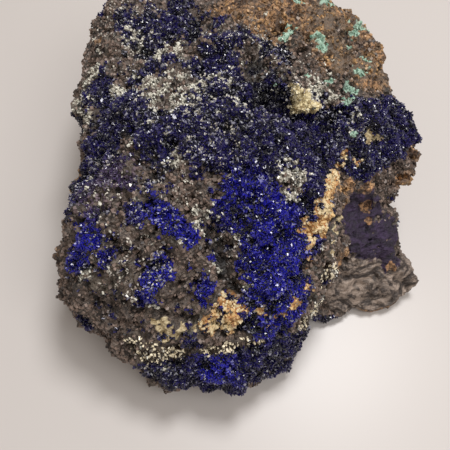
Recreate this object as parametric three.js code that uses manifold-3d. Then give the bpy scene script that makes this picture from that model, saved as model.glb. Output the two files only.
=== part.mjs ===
// Azurite specimen: one lump of copper ore, crusted with azurite, that rests on the flat of its underside.
// Millimetres, +Z up. X runs across the specimen, -Y is its front, and the origin is the middle of its foot.
import * as THREE from 'three';
import { mergeVertices } from 'three/addons/utils/BufferGeometryUtils.js';
import { ImprovedNoise } from 'three/addons/math/ImprovedNoise.js';
import Module from 'manifold-3d';

// Driving dimensions.
const CREST_HEIGHT = 55; // the flat top of the main mass, before its knobs
const SHOULDER = 3.2; // how squarely a side turns over into the top; 2 is round
const UNDERCUT = 2.7; // how squarely a side turns under towards the foot
const FOOT_SINK = 1.16; // how much deeper than the foot's plane an underside would reach uncut
const TOP_SHARE = 1.5; // above 1 gives the tops more of the mesh than the sides
const CORNER_SHARPNESS = 10; // how crisply two slopes of a top meet
const KNOB_SIZE = 13; // spacing of the large knobs
const KNOB_HEIGHT = 1.7;
const PIT_SIZE = 5.5; // spacing of the small knobs and pits
const PIT_DEPTH = 0.7;
const UNDERSIDE_ROUGHNESS = 1.3; // how much rougher the broken underside grows towards the foot
const BREAK_DEPTH = 0.92; // how flat a broken face is; 1 is a perfect plane

const STONE_COLOUR = 0x2b2a4c;
const WELD = 1e-4; // vertices nearer than this are one

/** A slope of a top: its height at a point of it, and how fast it rises towards +X and +Y. */
const slope = (x, y, height, riseX, riseY) => (px, py) => height + riseX * (px - x) + riseY * (py - y);

/** A round or oval knoll, or with a negative height a hollow, turned by an angle about Z. */
function knoll(x, y, height, length, width = length, turn = 0) {
  const cos = Math.cos(turn);
  const sin = Math.sin(turn);
  return (px, py) => {
    const along = (cos * (px - x) + sin * (py - y)) / length;
    const across = (cos * (py - y) - sin * (px - x)) / width;
    return height * Math.exp(-along * along - across * across);
  };
}

/** A flat broken face through a point, with its outward normal. */
const brokenFace = (point, normal) => ({
  through: new THREE.Vector3(...point),
  outward: new THREE.Vector3(...normal).normalize(),
});

// Each mass is a rim, its widest line given as [x, y, height], with a top above and an underside below.
// The top has slopes and knolls. The underside has the broken faces along which the lump left its vein.
const MAIN_MASS = {
  detail: 15,
  rim: [
    [-27.5, -49, 16], [-31.5, -44.5, 17], [-37, -42, 17], [-41, -39, 18], [-43.6, -35, 20],
    [-43.6, -31, 22], [-45.8, -28.5, 23], [-43.8, -22.7, 26], [-42, -17, 28], [-41.3, -10, 30],
    [-40.6, -4, 32], [-39.4, 4.3, 34], [-43, 10, 34], [-42, 15, 35], [-42, 26.7, 37],
    [-41.6, 34.5, 38], [-37.5, 37.5, 40], [-35, 45.5, 40], [-27, 53, 38], [-11, 55.5, 36],
    [8, 56, 34], [22, 53, 34], [31.5, 45, 34], [36, 38.5, 35], [39, 33, 35],
    [39.5, 24, 35], [41.3, 16.7, 35], [41.8, 12.5, 34], [44.8, 12, 33], [47, 8.2, 32],
    [47, 3, 30], [45.6, -1.6, 28], [43.4, -6.8, 27], [39.5, -9.8, 25], [28.5, -12.5, 24],
    [26.5, -21, 21], [24.6, -30.5, 16], [21.6, -38, 12], [16, -43.5, 14], [8, -48, 17],
    [-2, -51, 19], [-12, -52, 19], [-22, -51.5, 17],
  ],
  slopes: [
    slope(-10, 0, CREST_HEIGHT, 0, 0.03), slope(-10, -15, 52.5, 0.1, 0.62), slope(16, -18, 46.5, -0.95, 0.5),
    slope(20, 5, 48, -0.5, 0.05), slope(0, 22, 51, -0.02, -0.3), slope(-32, 0, 49.5, 0.75, 0),
    slope(-5, -46, 33, 0.05, 1.7),
  ],
  knolls: [
    knoll(-24, -33, 5.5, 15, 11), knoll(-2, -34, -6, 3.2, 11, 0.22), knoll(14, 2, -8.5, 12, 4.5, 0.12),
    knoll(-10, 12, -3.2, 18, 5, 0.1), knoll(14, 3.5, 2.2, 3), knoll(0, -8, 2.5, 14, 9),
    knoll(-26, -4, 1.8, 7), knoll(20, 36, 4, 12, 10), knoll(-22, 34, 3, 13, 10),
    knoll(33, 3, 3, 12, 6, -0.1), knoll(30, -9, -3.5, 9, 3.5, 0.1), knoll(18, -27, 2.5, 4, 14, 0.1),
  ],
  breaks: [
    brokenFace([-43.5, -31, 17], [-0.85, -0.1, -0.5]), brokenFace([-30, -46, 13], [-0.55, -0.65, -0.55]),
    brokenFace([-42, 8, 29], [-0.9, 0.15, -0.3]), brokenFace([-38, 44, 36], [-0.75, 0.6, -0.28]),
    brokenFace([-14, 55.5, 33], [-0.2, 0.85, -0.42]), brokenFace([16, 55.5, 32], [0.25, 0.95, -0.12]),
    brokenFace([33, 45, 32], [0.72, 0.66, -0.25]), brokenFace([41.5, 22, 29], [0.85, 0.35, -0.4]),
    brokenFace([46.5, 2, 24], [0.62, -0.25, -0.75]), brokenFace([22, -40, 8], [0.5, -0.6, -0.6]),
  ],
};

const WING = {
  detail: 8,
  rim: [
    [16, 0, 14], [38, -7, 20], [42, -13.8, 17], [43.8, -18, 12], [46, -22, 8.5],
    [49, -26, 4.5], [44.5, -29, 3.6], [36, -32, 3], [25, -34.5, 3], [12, -34, 8], [8, -20, 10],
  ],
  slopes: [slope(26, -13, 27.5, -0.45, 0.32), slope(30, -22, 19.5, -0.36, 1.35)],
  knolls: [knoll(32, -15, -1.6, 6, 4), knoll(30, -26, -1.2, 3.5)],
  breaks: [brokenFace([43.5, -10, 12], [0.93, 0.37, -0.1])],
};

const FRONT_LEDGE = {
  detail: 8,
  rim: [
    [-28, -46.5, 15], [-26.5, -49.8, 13], [-22.2, -53.4, 12], [-14.4, -53.8, 11], [-4.7, -54.8, 11],
    [-0.9, -55.1, 11], [5.9, -52.6, 11], [11.6, -47.6, 10], [17.8, -41.6, 9.5], [20, -34, 9],
    [4, -28, 9], [-20, -32, 12],
  ],
  slopes: [slope(-8, -50, 22.5, -0.05, 0.15), slope(12, -44, 20.5, -0.65, 0.4)],
  knolls: [knoll(-4, -53, 1.2, 3)],
  breaks: [brokenFace([-27, -50, 11], [-0.6, -0.5, -0.6]), brokenFace([-5, -55.2, 9], [0.05, -0.8, -0.6])],
};

const noise = new ImprovedNoise();

/** Noise in the range -1 to 1 whose bumps are one size apart. */
const bumps = (p, size, shift) => noise.noise(p.x / size + shift, p.y / size - shift, p.z / size + 2 * shift);

/** Where the ray from the mass's axis at an angle crosses its rim: distance and height. */
function rimAt(angle, rim) {
  const dx = Math.cos(angle);
  const dy = Math.sin(angle);
  const [cx, cy] = middleOf(rim);
  let best = { distance: 0, height: 0 };
  rim.forEach(([x1, y1, z1], i) => {
    const [x2, y2, z2] = rim[(i + 1) % rim.length];
    const ex = x2 - x1;
    const ey = y2 - y1;
    const turn = dx * ey - dy * ex;
    const distance = ((x1 - cx) * ey - (y1 - cy) * ex) / turn;
    const share = ((x1 - cx) * dy - (y1 - cy) * dx) / turn;
    if (distance > best.distance && share >= 0 && share <= 1) {
      best = { distance, height: z1 + share * (z2 - z1) };
    }
  });
  return best;
}

/** The middle of a rim in plan. */
function middleOf(rim) {
  const sum = rim.reduce(([sx, sy], [x, y]) => [sx + x, sy + y], [0, 0]);
  return sum.map((total) => total / rim.length);
}

/** The height of a mass's top at a place: its lowest slope, with worn edges, and the knolls and hollows. */
function topAt(x, y, { slopes, knolls }) {
  const lowest = slopes.reduce((sum, height) => sum + Math.max(height(x, y), 1) ** -CORNER_SHARPNESS, 0);
  return lowest ** (-1 / CORNER_SHARPNESS) + knolls.reduce((sum, height) => sum + height(x, y), 0);
}

/** Brings a point that lies beyond a broken face back to that face. */
function breakBack(point, breaks) {
  for (const { through, outward } of breaks) {
    const beyond = point.clone().sub(through).dot(outward);
    point.addScaledVector(outward, -BREAK_DEPTH * Math.max(beyond, 0));
  }
}

/** One mass of rock as a closed geometry: a ball drawn out to its rim, top and underside, then roughened. */
function massGeometry(mass) {
  const ball = new THREE.IcosahedronGeometry(1, mass.detail);
  ball.deleteAttribute('normal');
  ball.deleteAttribute('uv');
  const rock = mergeVertices(ball, WELD);
  const places = rock.getAttribute('position');
  const [cx, cy] = middleOf(mass.rim);
  const outward = new THREE.Vector3();
  const point = new THREE.Vector3();
  for (let i = 0; i < places.count; i += 1) {
    outward.fromBufferAttribute(places, i);
    outward.z *= TOP_SHARE;
    outward.normalize();
    const level = Math.hypot(outward.x, outward.y);
    const power = outward.z > 0 ? SHOULDER : UNDERCUT;
    const square = (level ** power + Math.abs(outward.z) ** power) ** (1 / power);
    const { distance, height } = rimAt(Math.atan2(outward.y, outward.x), mass.rim);
    const spread = (level / square) * distance;
    point.x = cx + (spread * outward.x) / Math.max(level, WELD);
    point.y = cy + (spread * outward.y) / Math.max(level, WELD);
    const rise = outward.z / square;
    point.z = rise > 0
      ? height + rise * (topAt(point.x, point.y, mass) - height)
      : height * (1 + FOOT_SINK * rise);
    breakBack(point, mass.breaks);
    const relief = KNOB_HEIGHT * bumps(point, KNOB_SIZE, 3.7) + PIT_DEPTH * bumps(point, PIT_SIZE, 8.3);
    point.addScaledVector(outward, relief * (1 + UNDERSIDE_ROUGHNESS * Math.max(-rise, 0)));
    places.setXYZ(i, point.x, point.y, point.z);
  }
  return rock;
}

const wasm = await Module();
wasm.setup();

/** A closed geometry as a solid that can be joined and cut. */
function solidOf(geometry) {
  return new wasm.Manifold(new wasm.Mesh({
    numProp: 3,
    vertProperties: new Float32Array(geometry.getAttribute('position').array),
    triVerts: new Uint32Array(geometry.getIndex().array),
  }));
}

/** A solid as a geometry. */
function geometryOf(solid) {
  const { vertProperties, triVerts } = solid.getMesh();
  const geometry = new THREE.BufferGeometry();
  geometry.setAttribute('position', new THREE.BufferAttribute(vertProperties, 3));
  geometry.setIndex(new THREE.BufferAttribute(triVerts, 1));
  return geometry;
}

/** The room above the foot's plane, with space to spare round the whole stone. */
function aboveFoot() {
  const side = 8 * CREST_HEIGHT;
  const room = new THREE.BoxGeometry(side, side, side);
  room.translate(0, 0, side / 2);
  room.deleteAttribute('normal');
  room.deleteAttribute('uv');
  return mergeVertices(room, WELD);
}

/** The whole stone, flat at its foot and centred over the origin. */
function stoneGeometry() {
  const masses = [MAIN_MASS, WING, FRONT_LEDGE].map((mass) => solidOf(massGeometry(mass)));
  const joined = masses.reduce((stone, mass) => stone.add(mass));
  const stone = geometryOf(joined.intersect(solidOf(aboveFoot())));
  stone.computeBoundingBox();
  const { min, max } = stone.boundingBox;
  stone.translate(-(min.x + max.x) / 2, -(min.y + max.y) / 2, -min.z);
  return stone;
}

const stone = new THREE.Mesh(
  stoneGeometry(),
  new THREE.MeshStandardMaterial({ color: STONE_COLOUR, roughness: 0.7, metalness: 0 }),
);
stone.name = 'azurite_specimen';

const group = new THREE.Group();
group.add(stone);

export default group;
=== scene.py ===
"""Azurite specimen: a lump of copper ore, its crusts of tiny crystals, and the stage it lies on."""
import math
from typing import NamedTuple

import bmesh
import bpy
import numpy as np
from bpy.props import FloatProperty, FloatVectorProperty, IntProperty, PointerProperty
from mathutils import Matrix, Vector


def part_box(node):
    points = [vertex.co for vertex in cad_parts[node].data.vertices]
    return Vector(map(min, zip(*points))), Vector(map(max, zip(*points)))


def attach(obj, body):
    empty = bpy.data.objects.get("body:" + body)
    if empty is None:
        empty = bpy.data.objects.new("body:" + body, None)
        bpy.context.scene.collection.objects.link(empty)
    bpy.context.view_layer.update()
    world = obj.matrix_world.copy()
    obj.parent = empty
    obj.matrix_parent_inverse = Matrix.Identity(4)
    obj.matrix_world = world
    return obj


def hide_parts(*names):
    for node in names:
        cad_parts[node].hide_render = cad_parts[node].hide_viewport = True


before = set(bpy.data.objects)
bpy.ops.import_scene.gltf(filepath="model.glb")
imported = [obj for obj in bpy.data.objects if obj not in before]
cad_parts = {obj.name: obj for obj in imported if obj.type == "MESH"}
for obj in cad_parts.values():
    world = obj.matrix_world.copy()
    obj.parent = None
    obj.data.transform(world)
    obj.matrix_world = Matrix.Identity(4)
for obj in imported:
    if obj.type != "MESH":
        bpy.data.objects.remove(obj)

bl_info = {
    "name": "Azurite Specimen",
    "version": (1, 0, 0),
    "blender": (4, 5, 0),
    "location": "View3D > Sidebar > Azurite",
    "description": "Dresses the packed stone in azurite, limonite, malachite and matrix",
    "category": "Object",
}

NODE = "azurite_specimen"
BODY = "root"
LOW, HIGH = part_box(NODE)
MIDDLE = (LOW + HIGH) / 2
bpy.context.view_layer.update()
MM = 0.001
SQUARE = ((-1, -1), (1, -1), (1, 1), (-1, 1))


def place(x, y, z):
    """A point of the stone, from its shares of the stone's box."""
    return Vector(low + share * (high - low) for share, low, high in zip((x, y, z), LOW, HIGH))


def paint(red, green, blue):
    """A colour read off a paint chart, from 0 to 255, as light values."""
    shares = (red / 255, green / 255, blue / 255)
    return tuple(s / 12.92 if s <= 0.04045 else ((s + 0.055) / 1.055) ** 2.4 for s in shares)


# --- Node trees as Python expressions ---------------------------------------------------------------------

# A Mix node's colour sockets: the share, the two ends, and the result.
MIX_SHARE, MIX_FIRST, MIX_SECOND, MIX_RESULT = 0, 6, 7, 2
# A Random Value node's sockets for each kind of value: least, most, and the result.
RANDOM_SOCKETS = {"FLOAT_VECTOR": (0, 1, 0), "FLOAT": (2, 3, 1), "INT": (4, 5, 2)}


class Wire:
    """One socket of a node tree. Arithmetic on it adds Math nodes to the tree."""

    def __init__(self, loom, socket):
        self.loom = loom
        self.socket = socket

    def math(self, operation, *terms):
        return self.loom.node("ShaderNodeMath", {"operation": operation}, dict(enumerate(terms)))

    def __add__(self, term):
        return self.math("ADD", self, term)

    __radd__ = __add__

    def __sub__(self, term):
        return self.math("SUBTRACT", self, term)

    def __rsub__(self, term):
        return self.math("SUBTRACT", term, self)

    def __mul__(self, term):
        return self.math("MULTIPLY", self, term)

    __rmul__ = __mul__

    def __truediv__(self, term):
        return self.math("DIVIDE", self, term)

    def __rtruediv__(self, term):
        return self.math("DIVIDE", term, self)

    def most(self, term):
        return self.math("MAXIMUM", self, term)

    def ramp(self, low, high):
        """0 at low and 1 at high, eased at both ends; low may be the larger of the two."""
        ends = {"Value": self, "From Min": low, "From Max": high}
        return self.loom.node("ShaderNodeMapRange", {"interpolation_type": "SMOOTHSTEP"}, ends)

    def sibling(self, name):
        """Another output of the node this wire leaves."""
        return Wire(self.loom, self.socket.node.outputs[name])


class Loom:
    """Weaves one node tree. Every node in it comes from node()."""

    def __init__(self, tree):
        self.tree = tree

    def node(self, kind, settings=None, sockets=None, out=0):
        """Adds a node with its settings made first and its sockets then given values or links."""
        made = self.tree.nodes.new(kind)
        for name, value in (settings or {}).items():
            setattr(made, name, value)
        for key, value in (sockets or {}).items():
            if isinstance(value, Wire):
                self.tree.links.new(value.socket, made.inputs[key])
            else:
                made.inputs[key].default_value = value
        return Wire(self, made.outputs[out]) if made.outputs else None

    def vector(self, operation, *terms, out=0):
        return self.node("ShaderNodeVectorMath", {"operation": operation}, dict(enumerate(terms)), out)

    def scaled(self, vector, factor):
        sockets = {"Vector": vector, "Scale": factor}
        return self.node("ShaderNodeVectorMath", {"operation": "SCALE"}, sockets)

    def part(self, vector, axis):
        """One of a vector's three numbers."""
        return self.node("ShaderNodeSeparateXYZ", None, {0: vector}, axis)

    def random(self, kind, least, most, seed):
        """A random value for each element."""
        first, last, out = RANDOM_SOCKETS[kind]
        sockets = {first: least, last: most, "Seed": seed}
        return self.node("FunctionNodeRandomValue", {"data_type": kind}, sockets, out)

    def stored(self, shape, name, value, domain):
        """Geometry with a value written on it under a name."""
        settings = {"data_type": "FLOAT", "domain": domain}
        sockets = {"Geometry": shape, "Name": name, "Value": value}
        return self.node("GeometryNodeStoreNamedAttribute", settings, sockets)

    def clouds(self, spot, size, detail=2.0, roughness=0.55, shift=0.0, out=0):
        """Cloudy noise around 0.5 whose lumps are about one size across."""
        moved = self.vector("ADD", spot, (shift, 2 * shift, -shift)) if shift else spot
        sockets = {"Vector": moved, "Scale": 1 / size, "Detail": detail, "Roughness": roughness}
        return self.node("ShaderNodeTexNoise", None, sockets, out)

    def cells(self, spot, size, feature="F1"):
        """Voronoi cells about one size across: the share of a size to a cell's middle."""
        sockets = {"Vector": spot, "Scale": 1 / size}
        return self.node("ShaderNodeTexVoronoi", {"feature": feature}, sockets)

    def blend(self, share, first, second):
        """A colour between two, by a share of the second."""
        ends = [end if isinstance(end, Wire) else (*end[:3], 1.0) for end in (first, second)]
        sockets = {MIX_SHARE: share, MIX_FIRST: ends[0], MIX_SECOND: ends[1]}
        return self.node("ShaderNodeMix", {"data_type": "RGBA"}, sockets, MIX_RESULT)


def new_tree(name, kinds):
    """A geometry tree with named inputs: its loom, its geometry, its inputs and their identifiers."""
    tree = bpy.data.node_groups.new(name, "GeometryNodeTree")
    for way in ("INPUT", "OUTPUT"):
        tree.interface.new_socket("Geometry", in_out=way, socket_type="NodeSocketGeometry")
    sockets = {}
    for label, kind in kinds.items():
        made = tree.interface.new_socket(label, in_out="INPUT", socket_type="NodeSocket" + kind)
        sockets[label] = made.identifier
    loom = Loom(tree)
    given = loom.node("NodeGroupInput")
    return loom, given, {label: given.sibling(label) for label in kinds}, sockets


def close_tree(loom, shape, finish):
    """Ends a geometry tree with plain geometry in its finish."""
    real = loom.node("GeometryNodeRealizeInstances", None, {"Geometry": shape})
    done = loom.node("GeometryNodeSetMaterial", None, {"Geometry": real, "Material": finish})
    loom.node("NodeGroupOutput", None, {0: done})
    return loom.tree


def run_tree(piece, tree, sockets, values):
    """Puts a tree on an object, with each input set by its socket's identifier."""
    modifier = piece.modifiers.new("tree", "NODES")
    modifier.node_group = tree
    for name, identifier in sockets.items():
        modifier[identifier] = values[name]


# --- Settings ---------------------------------------------------------------------------------------------


def length(name, description, millimetres):
    """A length a user may change."""
    return FloatProperty(
        name=name, description=description, default=millimetres * MM, min=0, unit="LENGTH", precision=5)


def colour(name, description, value):
    """A colour a user may change."""
    return FloatVectorProperty(
        name=name, description=description, default=paint(*value), min=0, max=1, subtype="COLOR")


class StoneSettings(bpy.types.PropertyGroup):
    """Sizes of the rock's relief."""

    mesh_size: length("Mesh size", "Edge of the fine mesh", 0.61)
    smoothing: IntProperty(
        name="Smoothing", description="Rounds that soften the coarse solid's facets", default=9, min=0)
    inset: length("Inset", "Room left below the packed surface for the crystals", 0.6)
    block_size: length("Block size", "Width of the large broken faces on the sides", 12)
    block_depth: length("Block depth", "Depth of the large broken faces on the sides", 2.6)
    lump_size: length("Lump size", "Spacing of the large knobs", 8.5)
    lump_height: length("Lump height", "Height of the large knobs", 2.4)
    burl_size: length("Burl size", "Width of the middling knobs", 4.6)
    burl_height: length("Burl height", "Height of the middling knobs", 1.9)
    chip_size: length("Chip size", "Width of the broken chips", 3.4)
    chip_depth: length("Chip depth", "Depth of the broken chips", 1.7)
    knot_size: length("Knot size", "Spacing of the crystal clusters", 2.3)
    knot_height: length("Knot height", "Height of the crystal clusters", 2.9)
    pit_size: length("Pit size", "Spacing of the small dark pits", 3.4)
    pit_depth: length("Pit depth", "Depth of the small dark pits", 1.8)
    grit_size: length("Grit size", "Spacing of the finest grit", 1.3)
    grit_height: length("Grit height", "Height of the finest grit", 0.7)


class CrystalSettings(bpy.types.PropertyGroup):
    """Sizes of the single crystals and grains."""

    azurite_gap: length("Azurite gap", "Least distance between azurite crystals", 0.38)
    azurite_length: length("Azurite length", "Longest azurite crystal", 0.8)
    grain_scale: FloatProperty(
        name="Grain scale", description="Size of the other minerals' grains", default=1.0, min=0.3)
    seed: IntProperty(name="Seed", description="Picks the places of the crystals", default=11)


class ColourSettings(bpy.types.PropertyGroup):
    """Colours of the minerals."""

    azurite: colour("Azurite", "Dark crystals", (32, 27, 88))
    ultramarine: colour("Ultramarine", "Bright crystals", (30, 29, 158))
    matrix: colour("Matrix", "Brown host rock", (97, 83, 74))
    limonite: colour("Limonite", "Rusty bands", (206, 160, 104))
    cream: colour("Cream", "Pale clay", (212, 196, 158))
    malachite: colour("Malachite", "Green tufts", (172, 203, 184))
    chalk: colour("Chalk", "Pale crystals", (214, 208, 192))
    floor: colour("Floor", "Pale table", (213, 208, 205))


class StageSettings(bpy.types.PropertyGroup):
    """The camera and the lights."""

    elevation: FloatProperty(
        name="Elevation", description="Height of the view", default=math.radians(61), subtype="ANGLE")
    distance: length("Distance", "From the camera to the aim point", 155)
    field: FloatProperty(
        name="Field", description="Angle across the picture", default=math.radians(40), subtype="ANGLE")
    aim: FloatVectorProperty(
        name="Aim", description="Aim point, from the middle of the stone",
        default=(-5.8 * MM, -18 * MM, -2.25 * MM), subtype="TRANSLATION")


# --- Where each mineral shows -----------------------------------------------------------------------------

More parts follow.
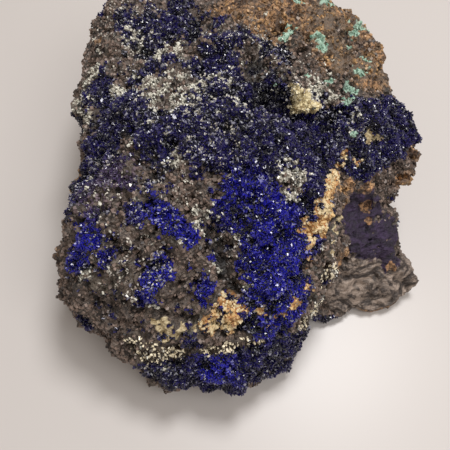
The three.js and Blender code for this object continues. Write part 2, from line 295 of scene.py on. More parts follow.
# Spots of each mineral: a place, as shares of the stone's box, and a radius in millimetres.
SPOTS = {
    "druse": [
        (0.42, 0.50, 0.95, 24), (0.25, 0.42, 0.92, 16), (0.55, 0.36, 0.88, 18), (0.56, 0.24, 0.74, 12),
        (0.82, 0.48, 0.78, 12), (0.92, 0.55, 0.66, 9), (0.30, 0.72, 0.93, 15), (0.15, 0.55, 0.85, 11),
        (0.12, 0.36, 0.80, 12), (0.48, 0.62, 0.92, 15), (0.70, 0.50, 0.84, 10), (0.24, 0.78, 0.90, 10),
        (0.55, 0.11, 0.58, 8), (0.60, 0.14, 0.60, 6), (0.30, 0.95, 0.78, 8), (0.58, 0.97, 0.76, 6),
        (0.10, 0.88, 0.72, 5), (0.11, 0.33, 0.79, 7),
    ],
    "bare": [
        (0.22, 0.17, 0.72, 17), (0.16, 0.24, 0.78, 10), (0.33, 0.13, 0.66, 12), (0.40, 0.18, 0.72, 6.5),
        (0.26, 0.23, 0.82, 7), (0.44, 0.22, 0.70, 3.5), (0.38, 0.23, 0.80, 4),
    ],
    "mottled": [
        (0.32, 0.32, 0.90, 7), (0.24, 0.35, 0.90, 5), (0.40, 0.31, 0.89, 5), (0.20, 0.40, 0.91, 4),
        (0.52, 0.64, 0.89, 7), (0.62, 0.62, 0.87, 7), (0.10, 0.50, 0.70, 8), (0.10, 0.70, 0.80, 10),
        (0.40, 0.80, 0.90, 8), (0.72, 0.56, 0.83, 4), (0.30, 0.55, 0.94, 9), (0.18, 0.62, 0.90, 7),
        (0.35, 0.66, 0.93, 6), (0.17, 0.31, 0.84, 3), (0.60, 0.33, 0.87, 4), (0.22, 0.82, 0.88, 8),
        (0.42, 0.74, 0.91, 7), (0.48, 0.78, 0.90, 7),
    ],
    "frosted": [
        (0.33, 0.52, 0.94, 13), (0.22, 0.66, 0.92, 9), (0.63, 0.60, 0.85, 10), (0.60, 0.34, 0.87, 5),
        (0.30, 0.32, 0.90, 8), (0.45, 0.22, 0.75, 4), (0.50, 0.70, 0.90, 9), (0.76, 0.50, 0.81, 6),
        (0.71, 0.24, 0.60, 5), (0.68, 0.14, 0.44, 5), (0.26, 0.04, 0.42, 5), (0.14, 0.33, 0.82, 8),
        (0.16, 0.78, 0.87, 10), (0.42, 0.40, 0.94, 8), (0.50, 0.48, 0.92, 6), (0.22, 0.17, 0.72, 9),
    ],
    "smooth": [(0.84, 0.25, 0.19, 10), (0.77, 0.24, 0.20, 7), (0.95, 0.26, 0.14, 8)],
    "patch": [
        (0.11, 0.23, 0.75, 3.6), (0.09, 0.20, 0.67, 2.6), (0.06, 0.21, 0.62, 1.8),
        (0.16, 0.19, 0.72, 2.3), (0.13, 0.27, 0.80, 2.6), (0.29, 0.17, 0.73, 2.9),
        (0.27, 0.15, 0.69, 2.2), (0.25, 0.13, 0.64, 2.4), (0.35, 0.22, 0.81, 2.5),
        (0.32, 0.24, 0.83, 2.4), (0.39, 0.14, 0.66, 1.9), (0.40, 0.12, 0.61, 1.6),
        (0.29, 0.26, 0.86, 3.6), (0.23, 0.26, 0.85, 2.4), (0.42, 0.19, 0.74, 1.4),
        (0.12, 0.14, 0.60, 1.5), (0.36, 0.06, 0.50, 1.8), (0.54, 0.08, 0.50, 3.0),
        (0.59, 0.07, 0.45, 1.6), (0.69, 0.19, 0.50, 1.1), (0.30, 0.02, 0.30, 8), (0.42, 0.00, 0.32, 9),
        (0.54, 0.03, 0.34, 8), (0.62, 0.07, 0.32, 6),
    ],
    "bright": [
        (0.56, 0.14, 0.64, 9), (0.55, 0.19, 0.70, 8), (0.60, 0.20, 0.68, 6), (0.55, 0.26, 0.78, 8),
        (0.11, 0.22, 0.72, 6), (0.28, 0.15, 0.69, 7), (0.37, 0.20, 0.78, 7), (0.40, 0.13, 0.63, 4),
        (0.48, 0.30, 0.84, 6), (0.30, 0.25, 0.85, 6), (0.42, 0.02, 0.37, 4.5), (0.56, 0.10, 0.57, 7),
    ],
    "limonite": [
        (0.745, 0.43, 0.72, 1.8), (0.72, 0.39, 0.73, 2.8), (0.70, 0.35, 0.74, 2.4),
        (0.685, 0.32, 0.74, 2.4), (0.67, 0.29, 0.74, 2.8), (0.655, 0.26, 0.73, 2.8),
        (0.65, 0.23, 0.69, 2.4), (0.655, 0.20, 0.64, 1.9), (0.64, 0.16, 0.57, 1.6),
        (0.61, 0.13, 0.54, 1.8), (0.575, 0.105, 0.54, 1.8), (0.53, 0.10, 0.55, 1.6),
        (0.44, 0.12, 0.61, 2.4), (0.43, 0.08, 0.56, 3.4), (0.47, 0.10, 0.57, 2.2),
        (0.40, 0.08, 0.55, 2.0), (0.80, 0.43, 0.67, 1.6), (0.78, 0.38, 0.62, 1.6),
    ],
    "cream": [
        (0.67, 0.30, 0.745, 1.8), (0.64, 0.22, 0.68, 1.4), (0.43, 0.075, 0.55, 2.6),
        (0.30, 0.075, 0.51, 2.6), (0.33, 0.08, 0.52, 1.8), (0.27, 0.09, 0.54, 1.2),
        (0.37, 0.08, 0.53, 1.2), (0.66, 0.20, 0.66, 1.4), (0.69, 0.37, 0.73, 1.2),
        (0.805, 0.48, 0.74, 1.4), (0.83, 0.49, 0.72, 1.6), (0.85, 0.50, 0.70, 1.3),
        (0.737, 0.31, 0.60, 1.4), (0.72, 0.285, 0.615, 1.6), (0.708, 0.255, 0.60, 1.5),
        (0.70, 0.235, 0.585, 1.4), (0.746, 0.33, 0.57, 1.3),
    ],
    "lump": [(0.63, 0.54, 0.84, 3.0), (0.66, 0.53, 0.83, 2.2), (0.61, 0.57, 0.86, 1.8)],
    "chalk": [
        (0.34, 0.54, 0.95, 7.0), (0.42, 0.58, 0.94, 4.0), (0.26, 0.54, 0.93, 4.5),
        (0.17, 0.56, 0.86, 2.6), (0.06, 0.58, 0.75, 4.5), (0.08, 0.64, 0.78, 4.0),
        (0.07, 0.53, 0.73, 3.5), (0.33, 0.37, 0.94, 2.2), (0.22, 0.40, 0.93, 2.0),
        (0.59, 0.345, 0.875, 4.5), (0.60, 0.30, 0.84, 2.4), (0.36, 0.258, 0.855, 1.8),
        (0.42, 0.18, 0.71, 2.0), (0.10, 0.17, 0.63, 1.5), (0.38, 0.24, 0.82, 1.6),
        (0.34, 0.21, 0.80, 1.2), (0.47, 0.24, 0.75, 1.6), (0.49, 0.15, 0.65, 1.3),
        (0.04, 0.21, 0.62, 1.6), (0.24, 0.13, 0.60, 1.2), (0.76, 0.52, 0.81, 2.4),
        (0.86, 0.58, 0.77, 2.2), (0.38, 0.40, 0.95, 1.8), (0.45, 0.50, 0.95, 2.4),
        (0.30, 0.66, 0.93, 4.0), (0.20, 0.70, 0.90, 3.5), (0.68, 0.58, 0.84, 4.0),
        (0.40, 0.27, 0.83, 2.0), (0.37, 0.93, 0.82, 3.0), (0.24, 0.93, 0.80, 2.4),
    ],
    "tan": [
        (0.57, 0.77, 0.90, 8), (0.66, 0.80, 0.88, 9), (0.46, 0.82, 0.89, 6), (0.74, 0.70, 0.83, 7),
        (0.84, 0.66, 0.75, 6), (0.90, 0.72, 0.68, 8), (0.50, 0.85, 0.86, 7), (0.95, 0.51, 0.56, 3.2),
        (0.93, 0.44, 0.52, 2.4), (0.80, 0.85, 0.76, 9), (0.76, 0.97, 0.70, 6), (0.44, 0.96, 0.80, 3.5),
        (0.10, 0.74, 0.80, 2.5), (0.81, 0.41, 0.56, 1.8), (0.765, 0.39, 0.60, 2.2),
        (0.905, 0.277, 0.25, 1.6), (0.73, 0.37, 0.67, 1.6), (0.75, 0.35, 0.58, 1.8),
        (0.827, 0.392, 0.45, 1.8), (0.837, 0.357, 0.413, 1.3),
    ],
    "malachite": [
        (0.600, 0.72, 0.895, 2.2), (0.62, 0.74, 0.895, 1.6), (0.69, 0.72, 0.87, 2.3),
        (0.70, 0.69, 0.86, 1.6), (0.64, 0.84, 0.88, 2.4), (0.80, 0.79, 0.78, 2.6),
        (0.83, 0.70, 0.75, 2.2), (0.78, 0.61, 0.79, 2.0), (0.76, 0.56, 0.81, 1.6),
        (0.75, 0.47, 0.79, 1.3), (0.80, 0.66, 0.78, 1.8), (0.72, 0.62, 0.84, 1.4),
        (0.85, 0.84, 0.72, 2.4), (0.73, 0.87, 0.82, 2.6), (0.56, 0.70, 0.90, 1.1),
        (0.77, 0.73, 0.82, 1.5), (0.66, 0.62, 0.86, 1.1), (0.57, 0.57, 0.86, 1.2),
        (0.80, 0.50, 0.79, 1.1), (0.48, 0.95, 0.80, 2.4), (0.68, 0.96, 0.76, 3.0),
        (0.20, 0.94, 0.78, 2.2),
    ],
    "golden": [
        (0.23, 0.05, 0.42, 3.2), (0.28, 0.045, 0.42, 3.4), (0.33, 0.045, 0.43, 2.4),
        (0.40, 0.045, 0.44, 2.2), (0.45, 0.045, 0.45, 2.6), (0.49, 0.05, 0.46, 2.4),
        (0.53, 0.055, 0.46, 2.0), (0.70, 0.20, 0.53, 2.4), (0.70, 0.17, 0.48, 2.4),
        (0.68, 0.14, 0.43, 2.4), (0.65, 0.11, 0.39, 2.2), (0.62, 0.09, 0.42, 1.6),
    ],
    "violet": [
        (0.80, 0.36, 0.48, 6.5), (0.86, 0.33, 0.40, 7.5), (0.90, 0.28, 0.28, 3.0),
        (0.82, 0.31, 0.38, 5),
    ],
    "mauve": [(0.155, 0.332, 0.828, 5), (0.119, 0.307, 0.794, 4), (0.193, 0.343, 0.871, 4)],
    "worn": [
        (0.02, 0.40, 0.70, 9), (0.00, 0.32, 0.62, 9), (0.72, 0.10, 0.22, 9), (0.62, 0.03, 0.15, 8),
    ],
    # Hollows and fissures: the surface sinks here, and every finish paints shade on them.
    "hollow": [
        (0.60, 0.50, 0.84, 3.6), (0.54, 0.53, 0.87, 4.6), (0.51, 0.58, 0.89, 4.2),
        (0.66, 0.48, 0.84, 3.2), (0.57, 0.60, 0.88, 2.6), (0.71, 0.48, 0.83, 2.4),
        (0.52, 0.63, 0.89, 2.6), (0.405, 0.255, 0.80, 1.6), (0.413, 0.236, 0.78, 1.8),
        (0.427, 0.21, 0.728, 2.4), (0.437, 0.19, 0.69, 2.4), (0.446, 0.171, 0.656, 2.1),
        (0.455, 0.145, 0.625, 1.7), (0.36, 0.10, 0.55, 1.6), (0.48, 0.085, 0.51, 1.6),
        (0.27, 0.28, 0.87, 1.2), (0.59, 0.085, 0.48, 1.8),
    ],
}


# How soft the edges of each mineral's spots are, as a share of their radius.
EDGES = {
    "druse": 0.15, "bare": 0.25, "limonite": 0.25, "cream": 0.25, "violet": 0.25, "smooth": 0.3,
    "lump": 0.3, "patch": 0.3, "tan": 0.4, "golden": 0.4, "malachite": 0.5, "chalk": 0.5, "mottled": 0.5,
    "hollow": 0.5, "frosted": 0.6, "bright": 0.6, "mauve": 0.6, "worn": 0.6,
}
# How much of the azurite each other mineral takes the place of.
CROWDING_OUT = {"limonite": 1, "cream": 1, "malachite": 1, "golden": 0.8, "chalk": 0.7, "lump": 1}
# The stone's settings that its tree takes as inputs.
RELIEF_SIZES = (
    "inset", "lump_size", "lump_height", "block_size", "block_depth", "chip_size", "chip_depth",
    "burl_size", "burl_height", "knot_size", "knot_height", "pit_size", "pit_depth", "grit_size",
    "grit_height")


def rock_tree():
    """The tree that roughens the rock and writes down where each mineral shows, and where the finishes
    paint shade: in its hollows and its low places.
    """
    kinds = {**dict.fromkeys(RELIEF_SIZES, "Float"), "finish": "Material"}
    loom, given, size, sockets = new_tree("rock", kinds)
    here = loom.node("GeometryNodeInputPosition")
    normal = loom.node("GeometryNodeInputNormal")

    # Shifting where each point looks itself up makes the edges of all spots ragged at once.
    half = (0.5, 0.5, 0.5)
    ragged = loom.vector("SUBTRACT", loom.clouds(here, 5 * MM, 3, 0.65, out="Color"), half)
    fringe = loom.vector("SUBTRACT", loom.clouds(here, 1.4 * MM, 1, 0.5, out="Color"), half)
    lookup = loom.vector("ADD", loom.scaled(ragged, 7 * MM), loom.scaled(fringe, 2 * MM))
    lookup = loom.vector("ADD", here, lookup)

    def cover(mineral):
        """1 within any spot of a mineral and 0 outside them all."""
        edge = EDGES[mineral]
        whole = None
        for x, y, z, radius in SPOTS[mineral]:
            reach = loom.vector("DISTANCE", lookup, tuple(place(x, y, z)), out="Value") / (radius * MM)
            mask = reach.ramp(1 + edge, 1 - edge)
            whole = mask if whole is None else whole.most(mask)
        return whole

    patchy = loom.clouds(here, 2.6 * MM, 3, 0.7)
    dots = loom.clouds(here, 1.5 * MM, 1, 0.5, shift=0.17)
    wide = loom.clouds(here, 15 * MM, 2, 0.5, shift=0.31)
    wider = loom.clouds(here, 19 * MM, 2, 0.5, shift=0.83)
    unseen = loom.part(normal, "Z").ramp(0.3, -0.1)
    behind = loom.part(here, "Y").ramp(0, 20 * MM) * unseen
    holes = loom.clouds(here, 2.1 * MM, 1, 0.5, shift=0.71).ramp(0.60, 0.64)
    rusty = cover("limonite")
    clay = cover("cream")
    frosted = cover("frosted")
    sprinkled = (frosted * 0.8 + 0.2).ramp(0.1, 0.6)
    clots = loom.clouds(here, 1.9 * MM, 1, 0.5, shift=0.23).ramp(0.68, 0.70) * sprinkled

    masks = {
        "tan": cover("tan").most(wide.ramp(0.55, 0.63) * unseen * 0.9),
        "limonite": rusty * (patchy * 0.6 + dots * 0.4).ramp(0.36, 0.44) * (1 - holes),
        "cream": clay * (1 - holes),
        "malachite": cover("malachite").most(wider.ramp(0.40, 0.35) * behind) * patchy.ramp(0.42, 0.52),
        "chalk": (cover("chalk") * (patchy * 0.5 + dots * 0.5).ramp(0.46, 0.54)).most(clots),
        "golden": cover("golden") * patchy.ramp(0.30, 0.5),
        "violet": cover("violet") * patchy.ramp(0.30, 0.44),
        # Where the hollows sink the surface and the finishes paint shade.
        "hollow": cover("hollow"),
        "lump": cover("lump"),
        "bright": cover("bright"),
        "mauve": cover("mauve"),
        "frosted": frosted,
        "smooth": cover("smooth").most(wider.ramp(0.57, 0.61) * behind),
    }
    bulge = cover("bare")
    bare = bulge.most(cover("mottled") * 0.55).most(masks["tan"])
    stray = wide.ramp(0.46, 0.38) * unseen
    druse = (cover("druse") * (1 - bare)).most(cover("patch")).most(stray * 0.7)
    druse = (druse * (1 - masks["violet"] * 0.8)).most(dots.ramp(0.63, 0.67) * bulge)
    for other, share in CROWDING_OUT.items():
        druse = druse * (1 - masks[other] * share)
    druse = druse.most(holes * rusty.most(clay))
    druse = (druse + (patchy - 0.5) * 1.1).ramp(0.38, 0.62)
    masks["druse"] = druse
    taken = druse
    for other in ("limonite", "cream", "chalk", "smooth", "malachite", "golden", "lump"):
        taken = taken.most(masks[other])
    taken = taken.most(masks["violet"] * 0.75)
    masks["gritty"] = (1 - taken) * (patchy * 0.6 + 0.5) * (1 - masks["tan"] * 0.25 - bulge * 0.3)
    # Where pale specks grow: partly pale grains, partly painted glints.
    masks["flecks"] = (frosted * 0.55 + 0.22) * dots.ramp(0.42, 0.60) * (1 - masks["smooth"])

    foot = loom.part(here, "Z").ramp(0.2 * MM, 3 * MM)
    lumps = (loom.clouds(here, size["lump_size"], 3, 0.5) - 0.5) * size["lump_height"] * 2
    chips = (loom.cells(lookup, size["chip_size"]) - 0.45) * size["chip_depth"] * (1 - druse)
    knots = (0.4 - loom.cells(here, size["knot_size"], "SMOOTH_F1")) * size["knot_height"] * druse
    grit = (loom.clouds(here, size["grit_size"], 2, 0.7) - 0.5) * size["grit_height"] * 2
    crust = druse * 0.5 * MM + masks["chalk"] * 0.4 * MM + masks["malachite"] * 0.5 * MM
    even = masks["smooth"].most(masks["violet"])
    burls = (0.42 - loom.cells(lookup, size["burl_size"], "SMOOTH_F1")) * size["burl_height"] * 2
    pits = loom.cells(lookup, size["pit_size"]).ramp(0.36, 0.12) * (1 - even)
    blocks = (loom.cells(lookup, size["block_size"]) - 0.45) * size["block_depth"] * unseen
    marked = masks["lump"] * 1.9 * MM - masks["hollow"] * 2.4 * MM
    broken = chips + knots + burls * (1 - even * 0.7) - pits * size["pit_depth"]
    sunk = size["inset"] * (1 + cover("worn") * 3)
    raised = lumps + broken + masks["tan"] * chips * 0.5 + grit + crust + blocks + marked
    move = loom.scaled(normal, (raised - sunk) * foot)
    # Relief: 0 in the rock's low places and 1 on its knobs; the finishes paint shade where it is low.
    masks["relief"] = ((broken + grit) / MM).ramp(-2.2, 0.8)
    shape = given
    for name, mask in masks.items():
        shape = loom.stored(shape, name, mask, "POINT")
    shape = loom.node("GeometryNodeSetPosition", None, {"Geometry": shape, "Offset": move})
    return close_tree(loom, shape, size["finish"]), sockets


def settle(piece):
    """Turns an object with live modifiers into a plain mesh at the origin."""
    seen = piece.evaluated_get(bpy.context.evaluated_depsgraph_get())
    mesh = bpy.data.meshes.new_from_object(seen)
    piece.modifiers.clear()
    piece.data = mesh
    return mesh


def join_frame(piece):
    """Hands a finished piece to the frame."""
    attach(piece, BODY)
    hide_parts(NODE)


def new_object(name, mesh):
    piece = bpy.data.objects.new(name, mesh)
    bpy.context.scene.collection.objects.link(piece)
    return piece


def welded_copy(node):
    """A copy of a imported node's mesh with its corners joined."""
    shape = bmesh.new()
    shape.from_mesh(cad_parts[node].data)
    bmesh.ops.remove_doubles(shape, verts=shape.verts, dist=0.001 * MM)
    mesh = bpy.data.meshes.new(node + "_welded")
    shape.to_mesh(mesh)
    shape.free()
    return mesh


# --- Materials --------------------------------------------------------------------------------------------


# Shades within the minerals, beside the colours that a user would change, and the colours of painted shade
# and of partly painted highlights and glints.
ROCK_DARK = paint(38, 32, 29)
ROCK_PALE = paint(138, 124, 112)
ROCK_GREY = paint(104, 100, 88)
ROCK_SPECK = paint(24, 20, 19)
RUST_DARK = paint(92, 66, 48)
RUST_PALE = paint(198, 152, 106)
RUST_SPECK = paint(44, 34, 32)
RUST_GREY = paint(104, 92, 80)
SHELL_DARK = paint(56, 47, 43)
# Pale bands of the smooth shell: partly its own banding, partly painted highlights.
SHELL_PALE_AND_HIGHLIGHT = paint(170, 153, 140)
VIOLET_DARK = paint(20, 12, 28)
VIOLET_PALE = paint(56, 38, 72)
DRUSE_GROUND = paint(7, 7, 22)
OCHRE = paint(164, 106, 56)
GOLDEN_GROUND = paint(62, 50, 40)
CREAM_DARK = paint(168, 148, 110)
CHALK_DARK = paint(120, 112, 100)
# Painted shade in the rock's hollows and fissures.
ROCK_HOLLOW_SHADE = paint(8, 7, 9)
LUMP_PALE = paint(226, 212, 168)
LUMP_DARK = paint(160, 142, 98)
# Painted shade in the rock's low places.
CREVICE_SHADE = paint(14, 12, 13)
# Near-black crystals: their own dark tone and painted shade where the rock is low.
AZURITE_DARK_AND_SHADE = paint(4, 4, 16)
# Painted shade in noisy patches that stand for the gaps between crystal clusters.
AZURITE_GAP_SHADE = paint(6, 6, 14)
# Pale grey crystal tips: partly frosted crystals, partly painted glints.
AZURITE_PALE_AND_GLINT = paint(150, 150, 164)
AZURITE_MAUVE = paint(92, 76, 104)
# Painted shade on the crystals in the hollows.
AZURITE_HOLLOW_SHADE = paint(4, 4, 8)
CLAY_DUST = paint(236, 220, 180)
STAIN_DARK = paint(50, 38, 33)
STAIN_PALE = paint(214, 170, 116)
ASH_DARK = paint(40, 34, 32)
ASH_PALE = paint(132, 118, 104)
GRIT_MAUVE = paint(92, 78, 108)
# Painted shade on the grains in the hollows.
GRIT_HOLLOW_SHADE = paint(10, 9, 12)


class Finish(Loom):
    """A material's node tree, with the masks and shader that every finish here needs."""

    def __init__(self, name):
        self.material = bpy.data.materials.new(name)
        self.material.use_nodes = True
        super().__init__(self.material.node_tree)
        self.shader = self.tree.nodes["Principled BSDF"]

    def attribute(self, name):
        return self.node("ShaderNodeAttribute", {"attribute_name": name}, out="Fac")

    def spot(self):
        return self.node("ShaderNodeTexCoord", out="Object")

    def bump(self, height, depth):
        """A normal from a height of 0 to 1."""
        return self.node("ShaderNodeBump", None, {"Height": height, "Distance": depth, "Strength": 1.0})

    def dress(self, **sockets):
        """Sets or links the shader's sockets, named with underscores for spaces."""
        for name, value in sockets.items():
            socket = self.shader.inputs[name.replace("_", " ").title().replace("Ior", "IOR")]
            if isinstance(value, Wire):
                self.tree.links.new(value.socket, socket)
            else:
                socket.default_value = value
        return self.material


def rock_finish(colours):
    """Bare rock, with its stains, the dark ground below the crystals, painted shade in its hollows and low
    places, and pale bands on its smooth shell that are partly painted highlights.
    """
    finish = Finish("bare_rock")
    spot = finish.spot()
    mask = {name: finish.attribute(name) for name in
            ("druse", "limonite", "cream", "malachite", "chalk", "tan", "golden", "violet", "hollow",
             "smooth", "relief", "lump")}
    fine = finish.clouds(spot, 0.9 * MM, 3, 0.7)
    middle = finish.clouds(spot, 3.5 * MM, 4, 0.65, shift=0.2)
    broad = finish.clouds(spot, 14 * MM, 3, 0.6, shift=0.4)
    grain = finish.clouds(spot, 0.45 * MM, 1, 0.5, shift=0.6)

    def sharp(name, spread=0.5):
        """A mask with its soft edge broken up by fine noise."""
        return (mask[name] + (fine - 0.5) * spread).ramp(0.35, 0.65)

    dark = finish.blend(middle.ramp(0.35, 0.65), ROCK_DARK, colours.matrix)
    rock = finish.blend(fine.ramp(0.5, 0.7), dark, ROCK_PALE)
    rock = finish.blend(broad.ramp(0.55, 0.7) * 0.5, rock, ROCK_GREY)
    rock = finish.blend(grain.ramp(0.58, 0.68) * 0.85, rock, ROCK_SPECK)
    rust = finish.blend(middle.ramp(0.38, 0.62), RUST_DARK, RUST_PALE)
    rust = finish.blend(fine.ramp(0.55, 0.42) * 0.8, rust, RUST_SPECK)
    rust = finish.blend(broad.ramp(0.5, 0.62) * 0.7, rust, RUST_GREY)
    swirl = finish.scaled(finish.clouds(spot, 9 * MM, 1, 0.5, out="Color"), 9 * MM)
    swept = finish.vector("MULTIPLY", finish.vector("ADD", spot, swirl), (0.45, 1.2, 1.2))
    bands = finish.clouds(swept, 2.1 * MM, 4, 0.6)
    # The smooth shell's bands run from dark brown to pale; the pale bands are partly painted highlights.
    shell = finish.blend(bands.ramp(0.40, 0.66), SHELL_DARK, SHELL_PALE_AND_HIGHLIGHT)
    rock = finish.blend(sharp("smooth", 0.3), rock, shell)
    veins = (bands * 0.6 + fine * 0.4).ramp(0.35, 0.65)
    purple = finish.blend(veins, VIOLET_DARK, VIOLET_PALE)
    rock = finish.blend(sharp("violet"), rock, purple)
    rock = finish.blend(sharp("tan", 0.9) * 0.9, rock, rust)
    rock = finish.blend(sharp("druse"), rock, DRUSE_GROUND)
    ochre = finish.blend(fine.ramp(0.4, 0.6), OCHRE, colours.limonite)
    ochre = finish.blend(middle.ramp(0.55, 0.66), ochre, colours.cream)
    rock = finish.blend(sharp("limonite", 0.8), rock, ochre)
    rock = finish.blend(sharp("golden") * 0.6, rock, GOLDEN_GROUND)
    clay = finish.blend(fine.ramp(0.6, 0.4), colours.cream, CREAM_DARK)
    rock = finish.blend(sharp("cream"), rock, clay)
    pale = finish.blend(grain.ramp(0.4, 0.6), CHALK_DARK, colours.chalk)
    rock = finish.blend(sharp("chalk") * 0.7, rock, pale)
    rock = finish.blend(sharp("malachite"), rock, colours.malachite)
    # Painted shade in the hollows and fissures.
    rock = finish.blend(mask["hollow"] * 0.85, rock, ROCK_HOLLOW_SHADE)
    knob = finish.blend(fine.ramp(0.55, 0.4), LUMP_PALE, LUMP_DARK)
    rock = finish.blend(sharp("lump"), rock, knob)
    # Painted shade in the rock's low places, read from the relief.
    rock = finish.blend(mask["relief"].ramp(0.6, 0.05) * 0.6, rock, CREVICE_SHADE)
    height = fine * 0.6 + grain * 0.4 + bands * (mask["smooth"] + mask["violet"]) * 0.8
    dull = 0.62 + mask["violet"] * 0.15 - mask["druse"] * 0.25
    return finish.dress(base_color=rock, roughness=dull, ior=1.6, normal=finish.bump(height, 0.5 * MM))


def azurite_finish(colours):
    """Glassy blue crystals, near black where their tone is low and where shade is painted in the rock's low
    places, gaps and hollows, and ultramarine in the bright spots, where they are fine.
    """
    finish = Finish("azurite_crystal")
    tone, bright, mauve, relief, frosted, hollow = (
        finish.attribute(name) for name in ("tone", "bright", "mauve", "relief", "frosted", "hollow"))
    vivid = finish.blend(bright, colours.azurite, colours.ultramarine)
    cluster = finish.clouds(finish.spot(), 1.2 * MM, 2, 0.6)
    # The crystals' random tone with painted shade where the rock is low: near black where this is small.
    lit = (tone * 0.4 + relief * 0.6 + cluster - 0.5).ramp(0.22, 0.8)
    body = finish.blend(lit, AZURITE_DARK_AND_SHADE, vivid)
    # Painted shade: noisy patches darken the crystals as if in gaps between clusters, less so in the bright
    # spots.
    gap_shade = finish.clouds(finish.spot(), 2.6 * MM, 2, 0.6, shift=0.35).ramp(0.49, 0.40)
    body = finish.blend(gap_shade * (1 - bright * 0.8) * 0.8, body, AZURITE_GAP_SHADE)
    # Crystals of the highest tone turn pale grey, more so where frosted: partly frosted crystals, partly
    # painted glints.
    pale = (tone + frosted * 0.08 + (cluster - 0.5) * 0.3).ramp(0.95, 0.98)
    body = finish.blend(pale * 0.9, body, AZURITE_PALE_AND_GLINT)
    body = finish.blend(mauve * 0.6, body, AZURITE_MAUVE)
    # Painted shade on the crystals in the hollows.
    body = finish.blend(hollow * 0.85, body, AZURITE_HOLLOW_SHADE)
    return finish.dress(base_color=body, roughness=0.24, ior=1.73)


def grain_finish(name, dark, light, roughness, turn):
    """Loose grains between two colours, which change over where the tone passes through turn, with painted
    shade in the hollows.
    """
    finish = Finish(name)
    cluster = finish.clouds(finish.spot(), 1.4 * MM, 2, 0.6)
    tone = finish.attribute("tone") * 0.6 + cluster * 1.4 - 0.5
    grains = finish.blend(tone.ramp(*turn), dark, light)
    if name == "limonite_grains":
        clay = finish.clouds(finish.spot(), 3.2 * MM, 2, 0.6, shift=0.9).ramp(0.47, 0.56)
        grains = finish.blend(clay * 0.85, grains, CLAY_DUST)
    if name == "rock_grit":
        clumps = finish.clouds(finish.spot(), 2.8 * MM, 2, 0.6, shift=0.2) * 2.2 - 0.9
        stained = finish.blend((tone * 0.5 + clumps).ramp(0.1, 0.9), STAIN_DARK, STAIN_PALE)
        ashen = finish.clouds(finish.spot(), 6 * MM, 3, 0.6, shift=0.5).ramp(0.50, 0.60)
        ash = finish.blend(tone, ASH_DARK, ASH_PALE)
        stained = finish.blend(ashen * 0.75, stained, ash)
        grains = finish.blend(finish.attribute("tan") * 0.9, grains, stained)
        grains = finish.blend(finish.attribute("mauve") * 0.55, grains, GRIT_MAUVE)
    # Painted shade on the grains in the hollows.
    grains = finish.blend(finish.attribute("hollow") * 0.8, grains, GRIT_HOLLOW_SHADE)
    return finish.dress(base_color=grains, roughness=roughness, ior=1.55)


# --- Crystals ---------------------------------------------------------------------------------------------


# Shapes of a crystal or grain one unit tall: its width and depth, how much of them is left at the tip,
# the tip's slant, and the share that is sunk where that isn't the usual one.
AZURITE_SHAPES = ((0.9, 0.55, 0.6, 0.12), (0.75, 0.75, 0.5, 0.2), (1.1, 0.5, 0.7, -0.1))
GRAIN_SHAPES = ((0.8, 0.7, 0.7, 0.1), (0.9, 0.6, 0.5, -0.15))
CHIP_SHAPES = ((1.3, 1.0, 0.75, 0.16, 0.62), (1.1, 1.2, 0.6, -0.2, 0.6))
USUAL_SUNK = 0.35
# The shortest crystal and the shortest grain, as shares of the longest.
SHORTEST_CRYSTAL, SHORTEST_GRAIN = 0.45, 0.5
# How many points are tried in the square of the least distance between two.
TRIES = 2.5
GROWTH_SEED, SHAPE_SEED, TONE_SEED = 3, 5, 7
# The map that a bake reads holds the six sides of a crystal, or of the rock, in columns and rows.
MAP_NAME, MAP_GRID = "OFBake", (3, 2)


def crystal_mesh(name, width, depth, tip, slant, sunk=USUAL_SUNK):
    """One crystal standing at the origin, one unit tall, with a share of it sunk."""
    corners = []
    for shrink, height in ((1.0, -sunk), (tip, 1 - sunk)):
        for x, y in SQUARE:
            lift = slant * (x + 0.4 * y) if height > 0 else 0.0
            corners.append((x * width / 2 * shrink, y * depth / 2 * shrink, height + lift))
    faces = [(0, 1, 5, 4), (1, 2, 6, 5), (2, 3, 7, 6), (3, 0, 4, 7), (4, 5, 6, 7), (3, 2, 1, 0)]
    mesh = bpy.data.meshes.new(name)
    mesh.from_pydata(corners, [], faces)
    return mesh


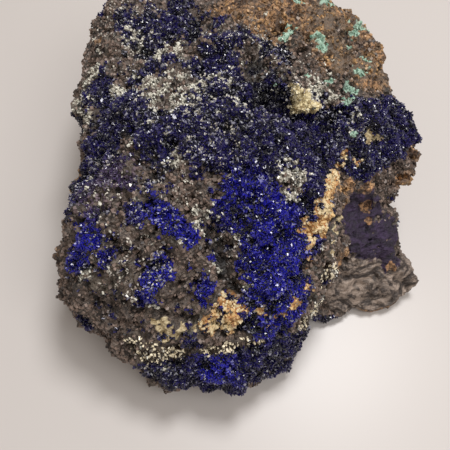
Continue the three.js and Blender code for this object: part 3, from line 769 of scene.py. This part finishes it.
def crust_tree(shapes, mask):
    """The tree that stands crystals on the rock wherever a mask says."""
    kinds = {"gap": "Float", "shortest": "Float", "longest": "Float", "lean": "Float", "front": "Float",
             "back": "Float", "low": "Float", "seed": "Int", "finish": "Material"}
    loom, given, size, sockets = new_tree("crust", kinds)
    density = loom.node("GeometryNodeInputNamedAttribute", {"data_type": "FLOAT"}, {"Name": mask})
    here = loom.node("GeometryNodeInputPosition")
    along = loom.part(here, "Y")
    past = loom.node("FunctionNodeCompare", {"operation": "GREATER_THAN"}, {0: along, 1: size["front"]})
    short = loom.node("FunctionNodeCompare", {"operation": "GREATER_EQUAL"}, {0: size["back"], 1: along})
    between = loom.node("FunctionNodeBooleanMath", {"operation": "AND"}, {0: past, 1: short})
    off_floor = loom.part(here, "Z").ramp(0.5 * MM, 1.4 * MM)
    points = loom.node("GeometryNodeDistributePointsOnFaces", {"distribute_method": "POISSON"}, {
        "Mesh": given, "Selection": between, "Distance Min": size["gap"],
        "Density Max": TRIES / size["gap"] / size["gap"],
        "Density Factor": density.ramp(size["low"], 1.0) * off_floor, "Seed": size["seed"]})
    variants = loom.node("GeometryNodeJoinGeometry")
    for shape in shapes:
        asked = {"Object": shape, "As Instance": True}
        info = loom.node("GeometryNodeObjectInfo", None, asked, "Geometry")
        loom.tree.links.new(info.socket, variants.socket.node.inputs[0])
    turn = loom.random("FLOAT_VECTOR", (-1.0, -1.0, 0.0), (1.0, 1.0, 2 * math.pi), size["seed"])
    lean = loom.node("ShaderNodeCombineXYZ", None, {"X": size["lean"], "Y": size["lean"], "Z": 1.0})
    turned = loom.node("FunctionNodeRotateRotation", {"rotation_space": "LOCAL"}, {
        0: points.sibling("Rotation"), 1: loom.vector("MULTIPLY", turn, lean)})
    stood = loom.node("GeometryNodeInstanceOnPoints", None, {
        "Points": points, "Instance": variants, "Pick Instance": True,
        "Instance Index": loom.random("INT", 0, len(shapes) - 1, SHAPE_SEED), "Rotation": turned,
        "Scale": loom.random("FLOAT", size["shortest"], size["longest"], GROWTH_SEED)})
    stood = loom.stored(stood, "tone", loom.random("FLOAT", 0.0, 1.0, TONE_SEED), "INSTANCE")
    return close_tree(loom, stood, size["finish"]), sockets


def write_map(mesh, places):
    """Stores where each corner of each face lies on the map that a bake reads."""
    layer = mesh.uv_layers.new(name=MAP_NAME)
    layer.uv.foreach_set("vector", places.astype(np.float32).ravel())


def lay_out_map(mesh):
    """Gives every crystal its own small square of the map, and each of its sides a part of that."""
    columns, rows = MAP_GRID
    sides = columns * rows
    corners_each = len(SQUARE)
    across = math.ceil(math.sqrt(len(mesh.polygons) // sides))
    face, point = np.divmod(np.arange(len(mesh.loops)), corners_each)
    crystal, side = np.divmod(face, sides)
    tile = np.stack([side % columns, side // columns], 1) / MAP_GRID
    inner = np.array([(0.15, 0.15), (0.85, 0.15), (0.85, 0.85), (0.15, 0.85)])[point] / MAP_GRID
    square = np.stack([crystal % across, crystal // across], 1)
    write_map(mesh, (square + 0.05 + 0.9 * (tile + inner)) / across)


def read_all(items, name, kind, each=1):
    """One property of all of a mesh's points, faces or corners, as an array."""
    values = np.empty(len(items) * each, kind)
    items.foreach_get(name, values)
    return values


def wrap_map(mesh):
    """Folds the rock out like a box, seen from its middle, onto the map."""
    points = (read_all(mesh.vertices, "co", float, 3).reshape(-1, 3) - MIDDLE) / ((HIGH - LOW) / 2)
    starts = read_all(mesh.polygons, "loop_start", int)
    counts = read_all(mesh.polygons, "loop_total", int)
    spread = points[read_all(mesh.loops, "vertex_index", int)]
    centres = np.add.reduceat(spread, starts) / counts[:, None]
    axis = np.repeat(np.abs(centres).argmax(1), counts)
    row = np.arange(len(spread))
    ahead = np.repeat(centres, counts, 0)[row, axis] > 0
    depth = np.abs(spread[row, axis])
    flat = np.stack([spread[row, (axis + 1) % 3], spread[row, (axis + 2) % 3]], 1) / depth[:, None]
    write_map(mesh, (np.stack([axis, ahead], 1) + 0.5 + flat * 0.46) / MAP_GRID)


def grow_crust(name, mask, finish, shapes, **values):
    """Stands crystals wherever a mask of the dressed rock says, as one plain mesh."""
    rock = bpy.data.objects["bare_rock"]
    stands = [new_object(name + "_shape", crystal_mesh(name, *shape)) for shape in shapes]
    piece = new_object(name, rock.data.copy())
    tree, sockets = crust_tree(stands, mask)
    run_tree(piece, tree, sockets, {"finish": finish, **values})
    mesh = settle(piece)
    if not mesh.polygons:
        raise RuntimeError(f"{name} found no place on the rock")
    for stand in stands:
        bpy.data.objects.remove(stand)
    lay_out_map(mesh)
    join_frame(piece)


# --- Operators --------------------------------------------------------------------------------------------


class AZURITE_OT_rock(bpy.types.Operator):
    """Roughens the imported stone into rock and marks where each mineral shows"""

    bl_idname = "azurite.rock"
    bl_label = "Bare rock"

    def execute(self, context):
        settings = context.scene.azurite_stone
        rock = new_object("bare_rock", welded_copy(NODE))
        remesh = rock.modifiers.new("fine mesh", "REMESH")
        remesh.mode = "VOXEL"
        remesh.voxel_size = settings.mesh_size
        smooth = rock.modifiers.new("soft facets", "SMOOTH")
        smooth.iterations = settings.smoothing
        tree, sockets = rock_tree()
        values = {name: getattr(settings, name) for name in RELIEF_SIZES}
        run_tree(rock, tree, sockets, {**values, "finish": rock_finish(context.scene.azurite_colours)})
        mesh = settle(rock)
        for point in mesh.vertices:
            point.co.z = max(point.co.z, 0.0)
        wrap_map(mesh)
        join_frame(rock)
        return {"FINISHED"}


# Where each crust is cut into pieces, as shares of the stone's depth, from its front to its back.
WHOLE_CUTS = (-0.1, 1.1)
GRIT_CUTS = (-0.1, 0.4, 1.1)
DRUSE_CUTS = (-0.1, 0.24, 0.42, 0.60, 1.1)
# Added to the seed of the azurite's first piece for the first crust of grains.
GRAIN_SEED_STEP = 20


def strips(cuts):
    """The front and back of each piece that cuts make of a crust."""
    lines = [place(0, cut, 0).y for cut in cuts]
    return list(zip(lines, lines[1:]))


class Crust(NamedTuple):
    """One sort of grain: the mask it grows on, its shapes, its look and, in millimetres, its sizes."""

    mask: str
    shapes: tuple
    light: tuple
    dark: tuple
    roughness: float
    gap: float
    longest: float
    turn: tuple
    cuts: tuple = WHOLE_CUTS


class AZURITE_OT_azurite(bpy.types.Operator):
    """Grows the azurite druse in four strips, from the front of the stone to its back"""

    bl_idname = "azurite.azurite"
    bl_label = "Azurite druse"

    def execute(self, context):
        sizes = context.scene.azurite_crystals
        finish = azurite_finish(context.scene.azurite_colours)
        for step, (front, back) in enumerate(strips(DRUSE_CUTS)):
            grow_crust(
                f"azurite_druse_{step + 1}", "druse", finish, AZURITE_SHAPES,
                gap=sizes.azurite_gap, shortest=sizes.azurite_length * SHORTEST_CRYSTAL,
                longest=sizes.azurite_length, lean=0.55, seed=sizes.seed + step, low=0.2,
                front=front, back=back)
        return {"FINISHED"}


class AZURITE_OT_grains(bpy.types.Operator):
    """Grows the pale, rusty, green and golden grains"""

    bl_idname = "azurite.grains"
    bl_label = "Grains of the other minerals"

    def execute(self, context):
        sizes = context.scene.azurite_crystals
        colours = context.scene.azurite_colours
        crusts = {
            "pale_crystals": Crust(
                mask="chalk", shapes=GRAIN_SHAPES, light=paint(236, 234, 220), dark=paint(66, 66, 62),
                roughness=0.3, gap=0.42, longest=0.75, turn=(0.25, 0.6)),
            # Pale specks over the stone: partly pale grains, partly painted glints.
            "pale_flecks": Crust(
                mask="flecks", shapes=GRAIN_SHAPES, light=paint(232, 226, 214), dark=paint(110, 103, 98),
                roughness=0.3, gap=0.5, longest=0.65, turn=(0.1, 0.8)),
            "limonite_grains": Crust(
                mask="limonite", shapes=CHIP_SHAPES, light=paint(230, 196, 140), dark=paint(128, 86, 48),
                roughness=0.6, gap=0.55, longest=0.8, turn=(0.1, 0.8)),
            "malachite_tufts": Crust(
                mask="malachite", shapes=GRAIN_SHAPES, light=colours.malachite, dark=paint(92, 132, 114),
                roughness=0.6, gap=0.55, longest=0.8, turn=(0.1, 0.8)),
            # Golden grains on the ledge, near white at their pale end: partly pale crystals, partly painted
            # glints.
            "golden_grit": Crust(
                mask="golden", shapes=GRAIN_SHAPES, light=paint(252, 240, 210), dark=paint(46, 36, 30),
                roughness=0.2, gap=0.5, longest=0.9, turn=(0.42, 0.55)),
            "lump_grains": Crust(
                mask="lump", shapes=CHIP_SHAPES, light=paint(238, 226, 188), dark=paint(158, 138, 98),
                roughness=0.5, gap=0.5, longest=0.7, turn=(0.1, 0.7)),
            "rock_grit": Crust(
                mask="gritty", shapes=CHIP_SHAPES, light=paint(140, 121, 110), dark=paint(26, 20, 20),
                roughness=0.42, gap=0.62, longest=0.85, turn=(0.1, 0.8), cuts=GRIT_CUTS),
        }
        for step, (name, crust) in enumerate(crusts.items()):
            finish = grain_finish(name, crust.dark, crust.light, crust.roughness, crust.turn)
            for number, (front, back) in enumerate(strips(crust.cuts), 1):
                grow_crust(
                    f"{name}_{number}", crust.mask, finish, crust.shapes,
                    gap=crust.gap * sizes.grain_scale * MM,
                    shortest=crust.longest * SHORTEST_GRAIN * sizes.grain_scale * MM,
                    longest=crust.longest * sizes.grain_scale * MM, lean=0.7,
                    seed=sizes.seed + GRAIN_SEED_STEP + step, low=0.3, front=front, back=back)
        return {"FINISHED"}


# Each lamp: its place from the middle of the stone, its width in metres and its power in watts.
LAMPS = {"key_lamp": ((0.09, 0.12, 0.47), 0.17, 1.5), "side_lamp": ((0.21, -0.21, 0.45), 0.34, 0.95)}
LAMP_COLOUR = (1.0, 0.99, 0.985)
SKY_COLOUR, SKY_STRENGTH = (1.0, 0.89, 0.79, 1.0), 0.34
FLOOR_REACH = 3.0


def aim_back(thing, back):
    """Turns a lamp or a camera to look against a direction."""
    thing.rotation_euler = (-back).to_track_quat("-Z", "Y").to_euler()


class AZURITE_OT_stage(bpy.types.Operator):
    """Lays the floor and sets the lights and the camera"""

    bl_idname = "azurite.stage"
    bl_label = "Stage"

    def execute(self, context):
        scene = context.scene
        settings = scene.azurite_stage
        floor_mesh = bpy.data.meshes.new("floor")
        corners = [(x * FLOOR_REACH, y * FLOOR_REACH, 0) for x, y in SQUARE]
        floor_mesh.from_pydata(corners, [], [(0, 1, 2, 3)])
        floor = new_object("floor", floor_mesh)
        floor_mesh.materials.append(Finish("pale_table").dress(
            base_color=(*scene.azurite_colours.floor, 1.0), roughness=0.33, ior=1.45))

        for name, (offset, width, watts) in LAMPS.items():
            lamp = bpy.data.lights.new(name, "AREA")
            lamp.shape = "DISK"
            lamp.size = width
            lamp.energy = watts
            lamp.color = LAMP_COLOUR
            stand = new_object(name, lamp)
            stand.location = MIDDLE + Vector(offset)
            aim_back(stand, stand.location - MIDDLE)

        world = bpy.data.worlds.new("studio")
        world.use_nodes = True
        sky = world.node_tree.nodes["Background"]
        sky.inputs["Color"].default_value = SKY_COLOUR
        sky.inputs["Strength"].default_value = SKY_STRENGTH
        scene.world = world
        scene.view_settings.view_transform = "Standard"

        lens = bpy.data.cameras.new("camera")
        lens.angle = settings.field
        lens.clip_start = MM
        camera = new_object("camera", lens)
        back = Vector((0, -math.cos(settings.elevation), math.sin(settings.elevation)))
        camera.location = MIDDLE + Vector(settings.aim) + back * settings.distance
        aim_back(camera, back)
        scene.camera = camera
        return {"FINISHED"}


class AZURITE_PT_panel(bpy.types.Panel):
    """Lists the steps that dress the stone"""

    bl_idname = "AZURITE_PT_panel"
    bl_label = "Azurite Specimen"
    bl_space_type = "VIEW_3D"
    bl_region_type = "UI"
    bl_category = "Azurite"

    def draw(self, context):
        for group in SETTINGS:
            box = self.layout.box()
            held = getattr(context.scene, group)
            for name in held.bl_rna.properties.keys():
                if name not in ("rna_type", "name"):
                    box.prop(held, name)
        for operator in OPERATORS:
            self.layout.operator(operator.bl_idname)


SETTINGS = {
    "azurite_stone": StoneSettings,
    "azurite_crystals": CrystalSettings,
    "azurite_colours": ColourSettings,
    "azurite_stage": StageSettings,
}
OPERATORS = (AZURITE_OT_rock, AZURITE_OT_azurite, AZURITE_OT_grains, AZURITE_OT_stage)


def register():
    for owner in (*SETTINGS.values(), *OPERATORS, AZURITE_PT_panel):
        bpy.utils.register_class(owner)
    for name, group in SETTINGS.items():
        setattr(bpy.types.Scene, name, PointerProperty(type=group))


def unregister():
    for name in SETTINGS:
        delattr(bpy.types.Scene, name)
    for owner in (AZURITE_PT_panel, *reversed(OPERATORS), *reversed(SETTINGS.values())):
        bpy.utils.unregister_class(owner)


def main():
    register()
    bpy.ops.azurite.rock()
    bpy.ops.azurite.azurite()
    bpy.ops.azurite.grains()
    bpy.ops.azurite.stage()


if __name__ == "__main__":
    main()
